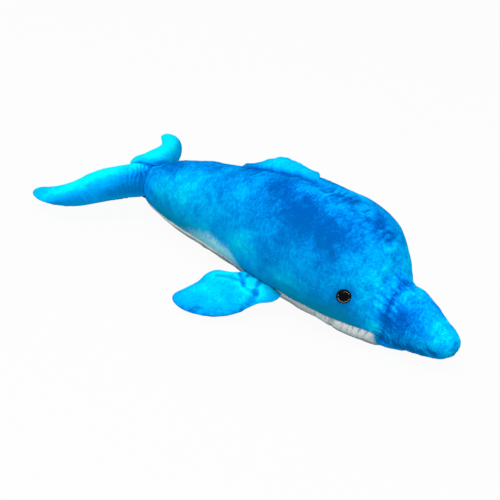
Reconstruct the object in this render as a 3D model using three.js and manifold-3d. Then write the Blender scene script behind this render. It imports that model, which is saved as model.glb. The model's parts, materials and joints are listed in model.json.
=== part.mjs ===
// Plush dolphin lying on its belly: sewn plush panels over soft filling, with safety eyes.
// Millimetres. +X runs forward to the beak, +Y to the toy's left, +Z up, and it rests on z = 0.
import * as THREE from 'three';
import { mergeVertices } from 'three/addons/utils/BufferGeometryUtils.js';
import Module from 'manifold-3d';

const wasm = await Module();
wasm.setup();

const RIGHT = -1;
const LEFT = 1;
const DEGREE = Math.PI / 180;

// Driving sizes of the whole toy; places along it are measured from the tail end
const BODY_LENGTH = 434; // tail end to beak tip
const BODY_WIDTH = 136;
const BODY_HEIGHT = 137;
const TAIL_HEIGHT = 44; // axis of the round tail end, which the fluke lobes turn about
const TAIL_RADIUS = 16;

// Cloth and seams
const SKIN = 1.8; // plush cloth with its pile
const SEAM_GAP = 0.4; // between two panels along a seam
const FILL_CLEARANCE = 0.3; // between cloth and filling
const BELLY_SQUARENESS = 1.9; // 2 is round, less tucks in underneath

// Guide rails of the body from the tail to the beak crease, in hundredths of the body's length,
// half width and height. Each station gives the ridge of the back (x, z), the flank (x, half
// width, z), the belly line (x, z), and how far below the flank the seam between side panel and
// belly panel runs, in degrees. Where the belly line is below 0 the toy rests flat.
const BODY_RAILS = [
  { ridge: [3.2, 49.2], flank: [3.2, 37, 32.1], belly: [3.2, 14.5], seam: 41 },
  { ridge: [7.8, 57.6], flank: [7.8, 51, 32.1], belly: [7.8, 8], seam: 37 },
  { ridge: [17.5, 70.2], flank: [17.5, 64.6, 36.5], belly: [17.5, 4.2], seam: 36 },
  { ridge: [27.9, 80], flank: [27.9, 75, 40.9], belly: [27.9, 2.9], seam: 36 },
  { ridge: [38.2, 90.6], flank: [38.2, 86.8, 46], belly: [38.2, 1.5], seam: 38 },
  { ridge: [48.6, 98], flank: [48.6, 95.6, 48.2], belly: [48.6, -0.4], seam: 42 },
  { ridge: [59, 99.8], flank: [59, 100, 48.9], belly: [59, -0.4], seam: 37 },
  { ridge: [66.2, 99.6], flank: [65.9, 100, 48.2], belly: [65.4, -0.4], seam: 32 },
  { ridge: [72.8, 91.6], flank: [72.4, 91.6, 43.1], belly: [71.4, -0.4], seam: 27 },
  { ridge: [78.2, 74], flank: [77.8, 70, 33.6], belly: [76.5, -0.4], seam: 24 },
  { ridge: [81, 57.5], flank: [81.2, 54.6, 31.4], belly: [79.4, -0.4], seam: 25 },
  { ridge: [83, 54], flank: [84.8, 46.4, 30], belly: [81.6, 0.6], seam: 30 },
];

// Rails of the beak from that crease to the tip. Its seam is the mouth, between the upper and
// lower beak panels; it closes underneath just short of the tip.
const BEAK_RAILS = [
  { ridge: [86, 53.6], flank: [87.4, 43.8, 30], belly: [84.8, 2.4], seam: 46 },
  { ridge: [89.2, 49], flank: [90.2, 38.8, 29], belly: [88.4, 6.2], seam: 52 },
  { ridge: [93.1, 42.4], flank: [93.6, 31.4, 27.4], belly: [93.1, 9.4], seam: 54 },
  { ridge: [97, 36.6], flank: [97, 24.5, 26], belly: [97, 13.2], seam: 60 },
  { ridge: [99.1, 31.4], flank: [99.1, 16.2, 25], belly: [99.1, 18.4], seam: 90 },
  { ridge: [100, 25], flank: [100, 0, 25], belly: [100, 25], seam: 90 },
];

// Facets
const ROWS_PER_STATION = 2;
const SIDE_COLUMNS = 7;
const BELLY_COLUMNS = 2; // on each side of the strip that rests
const REST_SHARE = 0.995; // share of the section's depth where that strip begins
const WELD = 1e-4; // points closer than this are one
const STEP = 1e-3; // small step along a rail or round a section
const SEARCH_ROUNDS = 40; // halvings when a place on the skin is looked for

// Limbs are flat pillows. An outline gives (along, out) points from the rear of the sewn root round
// the tip to its front, in hundredths of the root's length and of the limb's reach; along runs
// forward. The rise is the height of a face above the seam's plane.
const RIM = 0.8; // half thickness at a pillow's seam
const PILLOW_ROUNDNESS = 0.6; // below 1 is fuller near the seam
const RING_SHARES = [0.45, 0.8, 1];
const PILLOW_SPOKES = 24;
const SEW_CLEARANCE = 0.1; // from a root's turning seam to the round skin that it is sewn on
const TAIL_CLEARANCE = 0.35; // between the tail end and the fluke lobes
const TAIL_ROWS = 3; // rows of the tail end that the lobes reach over

const FLIPPER_ROOT_X = 0.509 * BODY_LENGTH;
const FLIPPER_ROOT_Z = 0.182 * BODY_HEIGHT;
const FLIPPER_ROOT_LENGTH = 52;
const FLIPPER_REACH = 88;
const FLIPPER_DROOP_ANGLE = 11; // degrees below level
const FLIPPER_RISE_UPPER = 11;
const FLIPPER_RISE_LOWER = 9;
const FLIPPER_OUTLINE = [
  [-78, 12], [-104, 20], [-107, 34], [-100, 52], [-102, 72], [-103, 89], [-86, 99], [-50, 101],
  [-11, 92], [16, 78], [30, 61], [35, 42], [40, 29], [54, 18], [57, 8],
];

const FIN_ROOT_X = 0.421 * BODY_LENGTH;
const FIN_ROOT_LENGTH = 113;
const FIN_REACH = 47;
const FIN_FLOP_ANGLE = 79; // degrees from upright, over to the left
const FIN_CURL = 20; // how far the tip bends down over the back
const FIN_RISE_RIGHT = 8.5;
const FIN_RISE_LEFT = 2.5;
const FIN_ARCH_SHARE = 0.74; // share of the back's bow that the root follows
const FIN_OUTLINE = [[-55, 30], [-61, 70], [-50, 99], [-11, 97], [21, 72], [41, 34]];

const FLUKE_ROOT_LENGTH = 40;
const FLUKE_REACH = 118;
const FLUKE_RIGHT_DROOP_ANGLE = 11;
const FLUKE_LEFT_DROOP_ANGLE = 2;
const FLUKE_RIGHT_SWEEP_ANGLE = 0; // degrees that a lobe is pushed back
const FLUKE_LEFT_SWEEP_ANGLE = 9;
const FLUKE_RISE = 12;
const FLUKE_OUTLINE = [
  [-121, 8], [-141, 24], [-147, 44], [-160, 66], [-196, 87], [-196, 98], [-158, 102], [-112, 97],
  [-68, 85], [-33, 67], [3, 43], [40, 24],
];

// Safety eyes
const EYE_X = 0.753 * BODY_LENGTH;
const EYE_Z = 0.47 * BODY_HEIGHT;
const EYE_DIAMETER = 16;
const EYE_RIM = 1.6; // flange left showing round the dome
const EYE_FLANGE = 1.2;
const EYE_DOME = 4;
const EYE_SHANK_DIAMETER = 4.5;
const EYE_SHANK_LENGTH = 13;
const EYE_CLEARANCE = 0.3;
const WASHER_DIAMETER = 17;
const WASHER_THICKNESS = 2;
const WASHER_DEPTH = 4; // from the cloth's outer face to the washer
const ROUND_SEGMENTS = 20;
const DOME_ROWS = 5;

// Looks of the separate pieces
const BLUE = { color: 0x0a9be8, roughness: 0.85, metalness: 0 };
const CYAN = { color: 0x14c4f2, roughness: 0.85, metalness: 0 };
const OFF_WHITE = { color: 0xc4d6d2, roughness: 0.9, metalness: 0 };
const FILLING = { color: 0xf2f2ee, roughness: 1, metalness: 0 };
const EYE_BLACK = { color: 0x0a0a0c, roughness: 0.15, metalness: 0 };
const WASHER_WHITE = { color: 0xe6e6e0, roughness: 0.6, metalness: 0 };

const dolphin = new THREE.Group();

function addMesh(parent, name, geometry, look) {
  const mesh = new THREE.Mesh(geometry, new THREE.MeshStandardMaterial(look));
  mesh.name = name;
  parent.add(mesh);
  return mesh;
}

// The triangles of a welded geometry that have three different corners
function facets(geometry) {
  const index = geometry.getIndex().array;
  const kept = [];
  for (let i = 0; i < index.length; i += 3) {
    const [a, b, c] = [index[i], index[i + 1], index[i + 2]];
    if (a !== b && b !== c && c !== a) kept.push(a, b, c);
  }
  return kept;
}

// A closed body from triangles of points: equal points are shared, empty triangles are dropped,
// and the faces are turned to point out.
function closedGeometry(triangles) {
  const corners = new Float32Array(triangles.flatMap((corner) => corner.toArray()));
  const loose = new THREE.BufferGeometry();
  loose.setAttribute('position', new THREE.BufferAttribute(corners, 3));
  const shared = mergeVertices(loose, WELD);
  const position = shared.getAttribute('position');
  const kept = facets(shared);
  const at = (i) => new THREE.Vector3().fromBufferAttribute(position, i);
  let volume = 0;
  for (let i = 0; i < kept.length; i += 3) {
    volume += at(kept[i]).dot(at(kept[i + 1]).cross(at(kept[i + 2])));
  }
  shared.setIndex(volume > 0 ? kept : kept.reverse());
  return shared;
}

// Two triangles for each cell of a grid of points
function gridTriangles(grid, flip = false) {
  const triangles = [];
  for (let i = 0; i + 1 < grid.length; i += 1) {
    for (let j = 0; j + 1 < grid[i].length; j += 1) {
      const [a, b, c, d] = [grid[i][j], grid[i + 1][j], grid[i + 1][j + 1], grid[i][j + 1]];
      if (flip) triangles.push(a, c, b, a, d, c);
      else triangles.push(a, b, c, a, c, d);
    }
  }
  return triangles;
}

// A sheet of cloth between an outer and an inner grid, closed along its four edges
function sheetGeometry(outer, inner) {
  const last = outer.length - 1;
  const column = (grid, j) => grid.map((row) => row.at(j));
  return closedGeometry([
    ...gridTriangles(outer),
    ...gridTriangles(inner, true),
    ...gridTriangles([outer[0], inner[0]], true),
    ...gridTriangles([outer[last], inner[last]]),
    ...gridTriangles([column(outer, 0), column(inner, 0)]),
    ...gridTriangles([column(outer, -1), column(inner, -1)], true),
  ]);
}

function toManifold(geometry) {
  const bare = new THREE.BufferGeometry();
  bare.setAttribute('position', geometry.getAttribute('position').clone());
  if (geometry.getIndex()) bare.setIndex(geometry.getIndex().clone());
  const merged = mergeVertices(bare, WELD);
  return new wasm.Manifold(new wasm.Mesh({
    numProp: 3,
    vertProperties: new Float32Array(merged.getAttribute('position').array),
    triVerts: new Uint32Array(facets(merged)),
  }));
}

function fromManifold(solid) {
  const mesh = solid.getMesh();
  const geometry = new THREE.BufferGeometry();
  geometry.setAttribute('position', new THREE.BufferAttribute(mesh.vertProperties, 3));
  geometry.setIndex(new THREE.BufferAttribute(mesh.triVerts, 1));
  return geometry;
}

function cut(geometry, tools) {
  const left = tools.reduce((solid, tool) => solid.subtract(toManifold(tool)), toManifold(geometry));
  return fromManifold(left);
}

// The stuffed skin that runs along a set of guide rails
class Skin {
  constructor(stations) {
    const rail = (place) => new THREE.CatmullRomCurve3(stations.map(place));
    this.ridge = rail(({ ridge }) => new THREE.Vector3(ridge[0], 0, ridge[1]));
    this.flank = rail(({ flank }) => new THREE.Vector3(flank[0], flank[1], flank[2]));
    this.belly = rail(({ belly }) => new THREE.Vector3(belly[0], 0, belly[1]));
    this.seamLine = new THREE.SplineCurve(stations.map(({ seam }, i) => new THREE.Vector2(i, 90 + seam)));
    this.rows = (stations.length - 1) * ROWS_PER_STATION;
    this.pointed = stations.at(-1).flank[1] === 0;
  }

  // Angle of the seam, from the ridge round to the belly
  seam(t) {
    return Math.min(this.seamLine.getPoint(t).y, 180) * DEGREE;
  }

  // Angle where the strip that rests on the floor begins
  rest(t) {
    const height = this.flank.getPoint(t).z;
    const drop = Math.min(height / (height - this.belly.getPoint(t).z), REST_SHARE);
    return Math.PI - Math.acos(drop ** (BELLY_SQUARENESS / 2));
  }

  // The unflattened outer face, with the angle taken from the ridge (0) to the belly (180 degrees)
  round(t, angle, side) {
    const flank = this.flank.getPoint(t);
    const upper = Math.cos(angle) >= 0;
    const end = upper ? this.ridge.getPoint(t) : this.belly.getPoint(t);
    const power = upper ? 1 : 2 / BELLY_SQUARENESS;
    const rise = Math.abs(Math.cos(angle)) ** power;
    const reach = Math.max(Math.sin(angle), 0) ** power;
    const halfWidth = flank.y;
    const point = flank.setY(0).lerp(end, rise);
    point.y = side * halfWidth * reach;
    return point;
  }

  // Outward normal; one side's normal is the mirror of the other's
  normal(t, angle, side) {
    const t0 = Math.max(t - STEP, 0);
    const t1 = Math.min(t + STEP, 1);
    const low = Math.max(angle - STEP, 0);
    const high = Math.min(angle + STEP, Math.PI);
    const along = this.round(t1, angle, side).sub(this.round(t0, angle, side));
    const middle = (t0 + t1) / 2;
    const around = this.round(middle, high, side).sub(this.round(middle, low, side));
    const normal = along.cross(around).multiplyScalar(side);
    if (angle < STEP || angle > Math.PI - STEP) normal.y = 0;
    return normal.normalize();
  }

  // A point at some depth below the outer face, flattened where the belly rests
  point(t, angle, side, depth = 0) {
    const atTip = t === 1 && this.pointed;
    const normal = atTip ? this.flank.getTangent(1).setY(0).normalize() : this.normal(t, angle, side);
    const point = this.round(t, angle, side).addScaledVector(normal, -depth);
    point.z = Math.max(point.z, depth);
    return point;
  }

  // Half a seam's gap, as an angle round the section and as a share of the rail
  gapAngle(t, angle) {
    const beside = angle > STEP ? angle - STEP : angle + STEP;
    const radius = this.round(t, angle, LEFT).distanceTo(this.round(t, beside, LEFT)) / STEP;
    return SEAM_GAP / 2 / Math.max(radius, SEAM_GAP);
  }

  gapShare(t) {
    const far = t > STEP ? t - STEP : t + STEP;
    return SEAM_GAP / 2 * STEP / this.flank.getPoint(t).distanceTo(this.flank.getPoint(far));
  }

  // The place on one side's skin with a given x and z
  find(x, z, side) {
    let [low, high] = [0, Math.PI];
    let place = null;
    for (let i = 0; i < SEARCH_ROUNDS; i += 1) {
      const angle = (low + high) / 2;
      place = { t: this.shareAt(x, angle, side), angle };
      if (this.round(place.t, angle, side).z > z) low = angle;
      else high = angle;
    }
    return place;
  }

  shareAt(x, angle, side) {
    let [low, high] = [0, 1];
    for (let i = 0; i < SEARCH_ROUNDS; i += 1) {
      const t = (low + high) / 2;
      if (this.round(t, angle, side).x < x) low = t;
      else high = t;
    }
    return (low + high) / 2;
  }
}

// A station of the rails in real size
function station({ ridge, flank, belly, seam }) {
  const x = (share) => share * BODY_LENGTH / 100;
  const y = (share) => share * BODY_WIDTH / 200;
  const z = (share) => share * BODY_HEIGHT / 100;
  return {
    ridge: [x(ridge[0]), z(ridge[1])],
    flank: [x(flank[0]), y(flank[1]), z(flank[2])],
    belly: [x(belly[0]), z(belly[1])],
    seam,
  };
}

const TAIL_END = {
  ridge: [0, TAIL_HEIGHT + TAIL_RADIUS],
  flank: [0, TAIL_RADIUS, TAIL_HEIGHT],
  belly: [0, TAIL_HEIGHT - TAIL_RADIUS],
  seam: 50,
};
const body = new Skin([TAIL_END, ...BODY_RAILS.map(station)]);
const beak = new Skin([BODY_RAILS.at(-1), ...BEAK_RAILS].map(station));

const steps = (first, last, count) =>
  Array.from({ length: count + 1 }, (_, i) => first + ((last - first) * i) / count);

// Rows of points on a skin. Turns are angles from the ridge round the right side; negative, or past
// the belly, they are on the left side.
function skinGrid(skin, shares, turns, depth) {
  const spot = (t, turn) => {
    const onRight = turn >= 0 && turn <= Math.PI;
    const angle = turn > Math.PI ? 2 * Math.PI - turn : Math.abs(turn);
    return skin.point(t, angle, onRight ? RIGHT : LEFT, depth);
  };
  return shares.map((t) => turns(t).map((turn) => spot(t, turn)));
}

function panel(skin, shares, turns) {
  return sheetGeometry(skinGrid(skin, shares, turns, 0), skinGrid(skin, shares, turns, SKIN));
}

// Turns from a seam down, across the strip that rests and up to the seam of the other side
function underTurns(skin, t, seam) {
  const down = steps(seam, Math.max(skin.rest(t), seam), BELLY_COLUMNS);
  const up = down.map((turn) => 2 * Math.PI - turn).reverse();
  return [...down, Math.PI, ...up];
}

const bodyShares = steps(0, 1, body.rows);
const bodyPanelShares = bodyShares.with(-1, 1 - body.gapShare(1));
const beakShares = steps(0, 1, beak.rows);
const beakPanelShares = beakShares.with(0, beak.gapShare(0));

// Upper and lower edge of a seam, half a gap to either side
const seamAbove = (skin, t) => skin.seam(t) - skin.gapAngle(t, skin.seam(t));
const seamBelow = (skin, t) => skin.seam(t) + skin.gapAngle(t, skin.seam(t));

// Where the mouth seam has closed, the upper beak panel meets itself underneath
const mouthEnd = beakShares.findIndex((t) => beak.seam(t) >= Math.PI);
const jawEnd = beakShares[mouthEnd] - 2 * beak.gapShare(1);
const jawShares = [...beakPanelShares.slice(0, mouthEnd), jawEnd];

// Safety eye, turned about its own axis, seated on the cloth
function turned(profile, segments = ROUND_SEGMENTS) {
  const lathe = new THREE.LatheGeometry(profile.map(([r, y]) => new THREE.Vector2(r, y)), segments);
  const position = lathe.toNonIndexed().getAttribute('position');
  const corners = steps(0, position.count - 1, position.count - 1);
  return closedGeometry(corners.map((i) => new THREE.Vector3().fromBufferAttribute(position, i)));
}

function eyeProfile() {
  const radius = EYE_DIAMETER / 2;
  const shank = EYE_SHANK_DIAMETER / 2;
  const dome = steps(0, Math.PI / 2, DOME_ROWS).map((a) => [
    (radius - EYE_RIM) * Math.cos(a),
    EYE_FLANGE + EYE_DOME * Math.sin(a),
  ]);
  dome.at(-1)[0] = 0;
  const stem = [[0, -EYE_SHANK_LENGTH], [shank, -EYE_SHANK_LENGTH], [shank, 0]];
  const flange = [[radius, 0], [radius, EYE_FLANGE]];
  return [...stem, ...flange, ...dome];
}

function washerProfile() {
  const bore = EYE_SHANK_DIAMETER / 2 + EYE_CLEARANCE;
  const rim = WASHER_DIAMETER / 2;
  const back = -WASHER_THICKNESS;
  return [[bore, back], [rim, back], [rim, 0], [bore, 0], [bore, back]];
}

// A round tool on the eye's axis, from outside the cloth down to some depth
function eyeTool(seat, radius, depth) {
  const outside = EYE_DIAMETER;
  return turned([[0, -depth], [radius, -depth], [radius, outside], [0, outside]]).applyMatrix4(seat.matrix);
}

function eyeSeat(side) {
  const place = body.find(EYE_X, EYE_Z, side);
  const normal = body.normal(place.t, place.angle, side);
  const seat = new THREE.Object3D();
  seat.position.copy(body.point(place.t, place.angle, side)).addScaledVector(normal, EYE_CLEARANCE);
  seat.quaternion.setFromUnitVectors(new THREE.Vector3(0, 1, 0), normal);
  seat.updateMatrix();
  return seat;
}

function addEye(side, label) {
  const seat = eyeSeat(side);
  const group = new THREE.Group();
  group.position.copy(seat.position);
  group.quaternion.copy(seat.quaternion);
  dolphin.add(group);
  addMesh(group, `${label}_eye`, turned(eyeProfile()), EYE_BLACK);
  addMesh(group, `${label}_eye_washer`, turned(washerProfile()), WASHER_WHITE).position.y = -WASHER_DEPTH;
  return seat;
}

const rightSeat = addEye(RIGHT, 'right');
const leftSeat = addEye(LEFT, 'left');
const shankHole = (seat) => eyeTool(seat, EYE_SHANK_DIAMETER / 2 + EYE_CLEARANCE, EYE_SHANK_LENGTH);
const washerPocket = (seat) =>
  eyeTool(seat, WASHER_DIAMETER / 2 + FILL_CLEARANCE, EYE_SHANK_LENGTH + FILL_CLEARANCE);

// Panels of the body, each from seam to seam
const rightTurns = (t) => steps(body.gapAngle(t, 0), seamAbove(body, t), SIDE_COLUMNS);
const leftTurns = (t) => rightTurns(t).map((turn) => -turn).reverse();
const bellyTurns = (t) => underTurns(body, t, seamBelow(body, t));
const rightSide = panel(body, bodyPanelShares, rightTurns);
const leftSide = panel(body, bodyPanelShares, leftTurns);
addMesh(dolphin, 'right_side_panel', cut(rightSide, [shankHole(rightSeat)]), BLUE);
addMesh(dolphin, 'left_side_panel', cut(leftSide, [shankHole(leftSeat)]), BLUE);
addMesh(dolphin, 'belly_panel', panel(body, bodyPanelShares, bellyTurns), OFF_WHITE);

// Panels of the beak
const upperBeakTurns = (t) => steps(-seamAbove(beak, t), seamAbove(beak, t), 2 * SIDE_COLUMNS);
const jawTurns = (t) => underTurns(beak, t, seamBelow(beak, t));
addMesh(dolphin, 'beak_upper_panel', panel(beak, beakPanelShares, upperBeakTurns), BLUE);
addMesh(dolphin, 'beak_lower_panel', panel(beak, jawShares, jawTurns), BLUE);

// One filling for body, head and beak, on the same rows and columns as the panels
function fillingLoops(skin, shares) {
  const turns = (t) => {
    const seam = skin.seam(t);
    const down = steps(0, seam, SIDE_COLUMNS);
    const back = down.map((turn) => -turn).reverse();
    return [...down, ...underTurns(skin, t, seam).slice(1, -1), ...back];
  };
  return skinGrid(skin, shares, turns, SKIN + FILL_CLEARANCE);
}

function bodyFilling() {
  const loops = [...fillingLoops(body, bodyShares), ...fillingLoops(beak, beakShares)];
  const tailMiddle = new THREE.Box3().setFromPoints(loops[0]).getCenter(new THREE.Vector3());
  const tailCap = loops[0].map(() => tailMiddle);
  return closedGeometry(gridTriangles([tailCap, ...loops]));
}

const pockets = [washerPocket(rightSeat), washerPocket(leftSeat)];
addMesh(dolphin, 'body_filling', cut(bodyFilling(), pockets), FILLING);

// A flat sewn pillow: two panels that meet at a seam round the outline, and filling between them.
// In the limb's own frame x runs along the root, y out from it and z through the thickness.
function addPillow(group, { outline, root, side, rise, curl = 0, arch = 0, cutters = [] }, names, looks) {
  const shape = new THREE.Shape();
  const corner = ([along, out]) => new THREE.Vector2(along * side, out + root.offset);
  const [front, rear] = [root.front, root.rear].map((along) => corner([along, 0]));
  shape.moveTo(front.x, front.y);
  shape.lineTo(rear.x, rear.y);
  shape.splineThru([...outline.map(corner), front]);
  const edge = shape.getSpacedPoints(PILLOW_SPOKES);
  const middle = new THREE.Box2().setFromPoints(edge).getCenter(new THREE.Vector2());
  const reach = Math.max(...outline.map(([, out]) => out));
  const curlDrop = (y) => curl * (Math.max(y, 0) / reach) ** 2;
  const archDrop = (x) => (arch ? arch * (x / root.front) ** 2 : 0);
  const swell = (ring, height) => RIM + (height - RIM) * (1 - ring * ring) ** PILLOW_ROUNDNESS;
  const face = (rings, height) => [0, ...rings].map((ring) => edge.map((point) => {
    const spot = middle.clone().lerp(point, ring);
    return new THREE.Vector3(spot.x, spot.y, height(ring) - curlDrop(spot.y) - archDrop(spot.x));
  }));
  const between = (outer, inner) => closedGeometry([
    ...gridTriangles(outer),
    ...gridTriangles(inner, true),
    ...gridTriangles([outer.at(-1), inner.at(-1)]),
  ]);
  const [above, below] = rise;
  const lining = (ring, height) => Math.max(SEAM_GAP / 2, swell(ring, height) - SKIN);
  const stuffed = (ring, height) => swell(ring, height) - SKIN - FILL_CLEARANCE;
  const inside = RING_SHARES.slice(0, -1);
  const upper = between(
    face(RING_SHARES, (ring) => swell(ring, above)),
    face(RING_SHARES, (ring) => lining(ring, above)),
  );
  const lower = between(
    face(RING_SHARES, (ring) => -swell(ring, below)),
    face(RING_SHARES, (ring) => -lining(ring, below)),
  );
  const filling = between(
    face(inside, (ring) => stuffed(ring, above)),
    face(inside, (ring) => -stuffed(ring, below)),
  );
  addMesh(group, names[0], cut(upper, cutters), looks);
  addMesh(group, names[1], cut(lower, cutters), looks);
  addMesh(group, names[2], cut(filling, cutters), FILLING);
}

// A limb's outline in real size
const sized = (outline, rootLength, reach) =>
  outline.map(([along, out]) => [along * rootLength / 100, out * reach / 100]);

// A limb's frame on its sewn root: along the root, out from the body, and up through the limb
function limbGroup(name, hinge, along, out, side) {
  const group = new THREE.Group();
  const x = along.clone().normalize().multiplyScalar(side);
  const z = x.clone().cross(out).normalize();
  const y = z.clone().cross(x);
  group.name = name;
  group.position.copy(hinge);
  group.quaternion.setFromRotationMatrix(new THREE.Matrix4().makeBasis(x, y, z));
  dolphin.add(group);
  return group;
}

// The seam at a root turns inside this distance from the cloth that carries it
const ROOT_STANDOFF = RIM * Math.SQRT2 + SEW_CLEARANCE;

function addFlipper(side, label) {
  const half = FLIPPER_ROOT_LENGTH / 2;
  const onSkin = (x) => body.find(x, FLIPPER_ROOT_Z, side);
  const [rear, mid, front] = [-half, 0, half].map((offset) => onSkin(FLIPPER_ROOT_X + offset));
  const point = (place) => body.point(place.t, place.angle, side);
  const along = point(front).sub(point(rear));
  const hinge = point(mid).addScaledVector(body.normal(mid.t, mid.angle, side), ROOT_STANDOFF);
  const droop = FLIPPER_DROOP_ANGLE * DEGREE;
  const out = new THREE.Vector3(0, side * Math.cos(droop), -Math.sin(droop));
  const group = limbGroup(`${label}_flipper`, hinge, along, out, side);
  addPillow(
    group,
    {
      outline: sized(FLIPPER_OUTLINE, FLIPPER_ROOT_LENGTH, FLIPPER_REACH),
      root: { front: half, rear: -half, offset: -RIM },
      side,
      rise: [FLIPPER_RISE_UPPER, FLIPPER_RISE_LOWER],
    },
    ['upper_panel', 'lower_panel', 'filling'].map((piece) => `${label}_flipper_${piece}`),
    CYAN,
  );
}

function addFin() {
  const half = FIN_ROOT_LENGTH / 2;
  const ridge = (x) => body.shareAt(x, 0, LEFT);
  const [rear, mid, front] = [-half, 0, half].map((offset) => ridge(FIN_ROOT_X + offset));
  const [rearPoint, midPoint, frontPoint] = [rear, mid, front].map((t) => body.point(t, 0, LEFT));
  const along = frontPoint.clone().sub(rearPoint);
  const normal = body.normal(mid, 0, LEFT);
  const bow = midPoint.clone().sub(rearPoint.clone().lerp(frontPoint, 0.5)).dot(normal);
  const hinge = midPoint.clone().addScaledVector(normal, ROOT_STANDOFF);
  const flop = FIN_FLOP_ANGLE * DEGREE;
  const out = normal.multiplyScalar(Math.cos(flop)).add(new THREE.Vector3(0, Math.sin(flop), 0));
  const group = limbGroup('dorsal_fin', hinge, along, out, LEFT);
  addPillow(
    group,
    {
      outline: sized(FIN_OUTLINE, FIN_ROOT_LENGTH, FIN_REACH),
      root: { front: half, rear: -half, offset: -RIM },
      side: LEFT,
      rise: [FIN_RISE_RIGHT, FIN_RISE_LEFT],
      curl: FIN_CURL,
      arch: bow * FIN_ARCH_SHARE,
    },
    ['right_panel', 'left_panel', 'filling'].map((piece) => `dorsal_fin_${piece}`),
    CYAN,
  );
}

// The round tail end with its clearance, turned about the axis that the fluke lobes share
function tailTool() {
  const shares = steps(0, TAIL_ROWS / body.rows, TAIL_ROWS);
  const reach = (t) => Math.max(
    body.ridge.getPoint(t).z - TAIL_HEIGHT,
    body.flank.getPoint(t).y,
    TAIL_HEIGHT - body.belly.getPoint(t).z,
  );
  const place = (t) => body.flank.getPoint(t).x - TAIL_CLEARANCE;
  const profile = shares.map((t) => [reach(t) + 2 * TAIL_CLEARANCE, place(t)]);
  const [first, last] = [profile[0], profile.at(-1)];
  const tool = turned([[0, first[1]], ...profile, [0, last[1]]]);
  return tool.rotateZ(-Math.PI / 2).translate(0, 0, TAIL_HEIGHT);
}

function addFluke(side, label, droopAngle, sweepAngle) {
  const hinge = new THREE.Vector3(-TAIL_CLEARANCE, 0, TAIL_HEIGHT);
  const droop = droopAngle * DEGREE;
  const out = new THREE.Vector3(0, side * Math.cos(droop), -Math.sin(droop));
  const group = limbGroup(`${label}_fluke`, hinge, new THREE.Vector3(1, 0, 0), out, side);
  group.updateMatrix();
  const sweep = Math.tan(sweepAngle * DEGREE);
  const level = sized(FLUKE_OUTLINE, FLUKE_ROOT_LENGTH, FLUKE_REACH);
  addPillow(
    group,
    {
      outline: level.map(([along, reach]) => [along - reach * sweep, reach]),
      root: { front: 0, rear: -FLUKE_ROOT_LENGTH, offset: RIM },
      side,
      rise: [FLUKE_RISE, FLUKE_RISE],
      cutters: [tailTool().applyMatrix4(group.matrix.clone().invert())],
    },
    ['upper_panel', 'lower_panel', 'filling'].map((piece) => `${label}_fluke_${piece}`),
    CYAN,
  );
}

addFlipper(RIGHT, 'right');
addFlipper(LEFT, 'left');
addFin();
addFluke(RIGHT, 'right', FLUKE_RIGHT_DROOP_ANGLE, FLUKE_RIGHT_SWEEP_ANGLE);
addFluke(LEFT, 'left', FLUKE_LEFT_DROOP_ANGLE, FLUKE_LEFT_SWEEP_ANGLE);

// The origin is under the middle of the whole toy, on the surface that it lies on
const box = new THREE.Box3().setFromObject(dolphin, true);
const middle = box.getCenter(new THREE.Vector3());
dolphin.position.set(-middle.x, -middle.y, -box.min.z);

export default dolphin;
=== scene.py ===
import json
import math

import bpy
import numpy as np
from mathutils import Matrix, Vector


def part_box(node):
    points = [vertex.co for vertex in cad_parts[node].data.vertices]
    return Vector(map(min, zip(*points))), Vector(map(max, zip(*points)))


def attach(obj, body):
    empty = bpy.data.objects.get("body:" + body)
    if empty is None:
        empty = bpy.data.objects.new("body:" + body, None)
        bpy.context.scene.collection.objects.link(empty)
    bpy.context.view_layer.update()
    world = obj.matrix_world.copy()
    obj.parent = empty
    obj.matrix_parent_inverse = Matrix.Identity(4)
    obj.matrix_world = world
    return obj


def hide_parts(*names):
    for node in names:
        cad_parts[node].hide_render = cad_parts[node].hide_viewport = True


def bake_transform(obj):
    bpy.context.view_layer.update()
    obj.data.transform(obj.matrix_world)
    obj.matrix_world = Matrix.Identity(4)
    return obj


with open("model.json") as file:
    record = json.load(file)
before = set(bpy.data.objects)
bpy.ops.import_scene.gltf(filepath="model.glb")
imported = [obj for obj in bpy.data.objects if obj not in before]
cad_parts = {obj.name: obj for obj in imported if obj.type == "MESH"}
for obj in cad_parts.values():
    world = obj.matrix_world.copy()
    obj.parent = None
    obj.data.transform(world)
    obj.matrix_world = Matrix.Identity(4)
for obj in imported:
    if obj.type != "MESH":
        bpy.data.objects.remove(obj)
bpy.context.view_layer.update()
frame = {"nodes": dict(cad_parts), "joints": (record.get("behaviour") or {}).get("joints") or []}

scene = bpy.context.scene

# Sizes of the toy, in metres; places along it are measured from the tail end
BODY_LENGTH = 0.434
BODY_WIDTH = 0.136
BODY_HEIGHT = 0.137
TAIL_HEIGHT = 0.044
TAIL_RADIUS = 0.016
TAIL_SEAM = 140  # degrees from the ridge
BELLY_SQUARENESS = 1.9
TAIL_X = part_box("right_side_panel")[0].x
RIGHT, LEFT = -1, 1

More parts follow.
